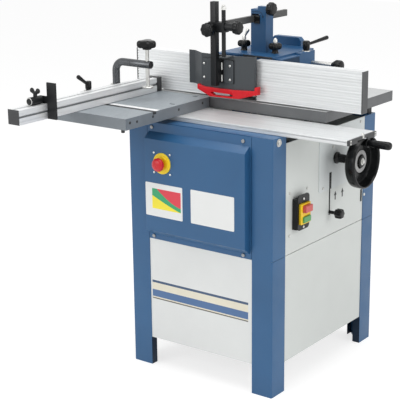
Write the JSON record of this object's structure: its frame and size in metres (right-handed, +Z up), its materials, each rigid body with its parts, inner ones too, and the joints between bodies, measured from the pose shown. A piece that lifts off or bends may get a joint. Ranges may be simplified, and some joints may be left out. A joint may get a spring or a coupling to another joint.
{
  "type": "spindle moulder",
  "caption": "Blue and grey spindle moulder with a cast table, ribbed fence, hood guard, sliding carriage with mitre fence, handwheel and switches.",
  "frame": {"origin": "centre of the four floor-bolt holes, on the floor under the stand", "axes": "+X to the operator's right along the fence, +Y to the back towards the dust port, +Z up along the spindle"},
  "size_m": [0.986, 1.069, 1.169],
  "materials": {
    "blue_paint": "satin powder coat",
    "grey_paint": "satin powder coat",
    "black_paint": "matte powder coat",
    "black_plastic": "fine grain",
    "grey_casting": "ground and painted",
    "cast_iron": "ground top, bare edges",
    "aluminium": "drawn and anodised",
    "steel": "turned",
    "red_plastic": "smooth",
    "yellow_plastic": "smooth",
    "green_plastic": "smooth",
    "belt_rubber": "matte"
  },
  "bodies": {
    "cabinet": {"stand_legs": "blue_paint", "cabinet_posts": "blue_paint", "lower_front_panel": "grey_paint", "lower_side_panels": "grey_paint", "upper_left_panel": "grey_paint", "upper_right_panel": "grey_paint", "rear_panel": "grey_paint", "access_plate": "grey_paint", "front_top_rail": "blue_paint", "front_cover": "blue_paint", "cover_bolts": "steel", "estop_base": "yellow_plastic", "switch_base": "black_plastic", "switch_cover": "yellow_plastic", "main_table": "cast_iron", "table_rings": "aluminium", "table_supports": "black_paint", "lift_columns": "steel"},
    "estop": {"estop_button": "red_plastic"},
    "on_switch": {"on_button": "green_plastic"},
    "off_switch": {"off_button": "red_plastic"},
    "carriage": {"carriage_beam": "aluminium", "carriage_end_caps": "black_plastic", "cross_cut_table": "grey_casting"},
    "mitre": {"mitre_bracket": "aluminium", "mitre_fence": "aluminium", "hold_down_tube": "steel"},
    "mitre_clamp": {"mitre_lever": "black_plastic"},
    "flip_stop": {"flip_stop_clamp": "aluminium"},
    "flip_plate": {"flip_stop_plate": "black_paint"},
    "hold_down": {"hold_down_screw": "steel"},
    "hold_down_grip": {"hold_down_knob": "black_plastic"},
    "handwheel_drive": {"handwheel": "black_plastic", "handwheel_shaft": "steel"},
    "handwheel_grip": {"handwheel_handle": "black_plastic"},
    "lift_drive": {"lift_screw": "steel"},
    "lift": {"quill_housing": "cast_iron", "spindle_bearings": "steel", "motor": "blue_paint", "drive_belt": "belt_rubber"},
    "spindle_unit": {"spindle": "steel"},
    "motor_rotor": {"motor_pulley": "cast_iron"},
    "height_lock": {"height_lock_knob": "black_plastic"},
    "fence": {"fence_hood": "blue_paint", "guard_column": "blue_paint"},
    "fence_left": {"fence_plate_left": "aluminium"},
    "fence_right": {"fence_plate_right": "aluminium"},
    "star_left": {"star_knob_left": "black_plastic"},
    "star_right": {"star_knob_right": "black_plastic"},
    "fence_clamp": {"fence_lever": "black_plastic"},
    "fine_adjust": {"fine_adjust_knob": "black_plastic"},
    "column_clamp": {"column_knob": "black_plastic"},
    "guard_arm_unit": {"guard_arm": "black_paint", "guard_head": "black_paint"},
    "arm_clamp": {"head_knob": "black_plastic"},
    "bar_clamp": {"bar_knob": "black_plastic"},
    "guard": {"guard_bars": "black_paint", "hinge_plate": "black_paint", "guard_plate": "black_paint", "pressure_shoe": "red_plastic"}
  },
  "joints": [
    {"name": "estop_press", "type": "slide", "parent": "cabinet", "child": "estop", "axis": [0, 1, 0], "range_m": [0, 0.006], "stiffness_N_per_m": 600},
    {"name": "on_press", "type": "slide", "parent": "cabinet", "child": "on_switch", "axis": [-1, 0, 0], "range_m": [0, 0.004], "stiffness_N_per_m": 500},
    {"name": "off_press", "type": "slide", "parent": "cabinet", "child": "off_switch", "axis": [-1, 0, 0], "range_m": [0, 0.004], "stiffness_N_per_m": 500},
    {"name": "carriage_slide", "type": "slide", "parent": "cabinet", "child": "carriage", "axis": [1, 0, 0], "range_m": [-0.4, 0.03]},
    {"name": "mitre_swivel", "type": "hinge", "parent": "carriage", "child": "mitre", "pos_m": [-0.362, -0.245, 0.86], "axis": [0, 0, 1], "range_deg": [0, 45]},
    {"name": "mitre_clamp_turn", "type": "hinge", "parent": "mitre", "child": "mitre_clamp", "pos_m": [-0.365, -0.378, 0.91], "axis": [0, 0, 1], "range_deg": [-80, 80]},
    {"name": "flip_stop_slide", "type": "slide", "parent": "mitre", "child": "flip_stop", "axis": [0, 1, 0], "range_m": [-0.04, 0.12]},
    {"name": "stop_flip", "type": "hinge", "parent": "flip_stop", "child": "flip_plate", "pos_m": [-0.3225, -0.63, 0.917], "axis": [0, -1, 0], "range_deg": [0, 90]},
    {"name": "hold_down_press", "type": "slide", "parent": "mitre", "child": "hold_down", "axis": [0, 0, 1], "range_m": [-0.03, 0.03]},
    {"name": "hold_down_turn", "type": "hinge", "parent": "hold_down", "child": "hold_down_grip", "pos_m": [-0.237, -0.245, 1.04], "axis": [0, 0, 1], "range_deg": [-5400, 5400]},
    {"name": "handwheel_turn", "type": "hinge", "parent": "cabinet", "child": "handwheel_drive", "pos_m": [0.34, 0.057, 0.684], "axis": [1, 0, 0], "range_deg": [0, 3600]},
    {"name": "handle_spin", "type": "hinge", "parent": "handwheel_drive", "child": "handwheel_grip", "pos_m": [0.42, 0.06, 0.744], "axis": [1, 0, 0], "continuous": true},
    {"name": "lift_screw_turn", "type": "hinge", "parent": "cabinet", "child": "lift_drive", "pos_m": [0.075, 0.057, 0.6], "axis": [0, 0, 1], "range_deg": [0, 3600]},
    {"name": "spindle_lift", "type": "slide", "parent": "cabinet", "child": "lift", "axis": [0, 0, 1], "range_m": [0, 0.1]},
    {"name": "spindle_spin", "type": "hinge", "parent": "lift", "child": "spindle_unit", "pos_m": [0, 0, 0.6], "axis": [0, 0, 1], "continuous": true},
    {"name": "motor_spin", "type": "hinge", "parent": "lift", "child": "motor_rotor", "pos_m": [0, 0.17, 0.46], "axis": [0, 0, 1], "continuous": true},
    {"name": "height_lock_turn", "type": "hinge", "parent": "lift", "child": "height_lock", "pos_m": [0.29, 0.023, 0.515], "axis": [1, 0, 0], "range_deg": [-180, 180]},
    {"name": "fence_slide", "type": "slide", "parent": "cabinet", "child": "fence", "axis": [0, 1, 0], "range_m": [0, 0.05]},
    {"name": "left_plate_slide", "type": "slide", "parent": "fence", "child": "fence_left", "axis": [1, 0, 0], "range_m": [-0.06, 0]},
    {"name": "right_plate_slide", "type": "slide", "parent": "fence", "child": "fence_right", "axis": [1, 0, 0], "range_m": [0, 0.06]},
    {"name": "left_star_turn", "type": "hinge", "parent": "fence", "child": "star_left", "pos_m": [-0.059, 0.025, 1.01], "axis": [0, 0, 1], "range_deg": [-180, 180]},
    {"name": "right_star_turn", "type": "hinge", "parent": "fence", "child": "star_right", "pos_m": [0.059, 0.025, 1.01], "axis": [0, 0, 1], "range_deg": [-180, 180]},
    {"name": "fence_clamp_turn", "type": "hinge", "parent": "fence", "child": "fence_clamp", "pos_m": [0.115, 0.119, 1], "axis": [0, 0, 1], "range_deg": [-100, 20]},
    {"name": "fine_adjust_turn", "type": "hinge", "parent": "fence", "child": "fine_adjust", "pos_m": [0.18, 0.14, 0.957], "axis": [1, 0, 0], "range_deg": [-720, 720]},
    {"name": "column_clamp_turn", "type": "hinge", "parent": "fence", "child": "column_clamp", "pos_m": [0.04, 0.027, 1.134], "axis": [1, 0, 0], "range_deg": [-180, 180]},
    {"name": "guard_reach", "type": "slide", "parent": "fence", "child": "guard_arm_unit", "axis": [0, -1, 0], "range_m": [0, 0.05]},
    {"name": "arm_clamp_turn", "type": "hinge", "parent": "guard_arm_unit", "child": "arm_clamp", "pos_m": [0.03, -0.146, 1.095], "axis": [1, 0, 0], "range_deg": [-180, 180]},
    {"name": "bar_clamp_turn", "type": "hinge", "parent": "guard_arm_unit", "child": "bar_clamp", "pos_m": [-0.05, -0.18, 1.087], "axis": [0, 1, 0], "range_deg": [-180, 180]},
    {"name": "guard_height", "type": "slide", "parent": "guard_arm_unit", "child": "guard", "axis": [0, 0, 1], "range_m": [0, 0.07]}
  ],
  "couplings": [
    {"joint": "handwheel_turn", "follows": "spindle_lift", "rad_per_m": 628.32},
    {"joint": "lift_screw_turn", "follows": "spindle_lift", "rad_per_m": 628.32},
    {"joint": "spindle_spin", "follows": "motor_spin", "ratio": 1.5},
    {"joint": "hold_down_turn", "follows": "hold_down_press", "rad_per_m": 3141.6}
  ]
}
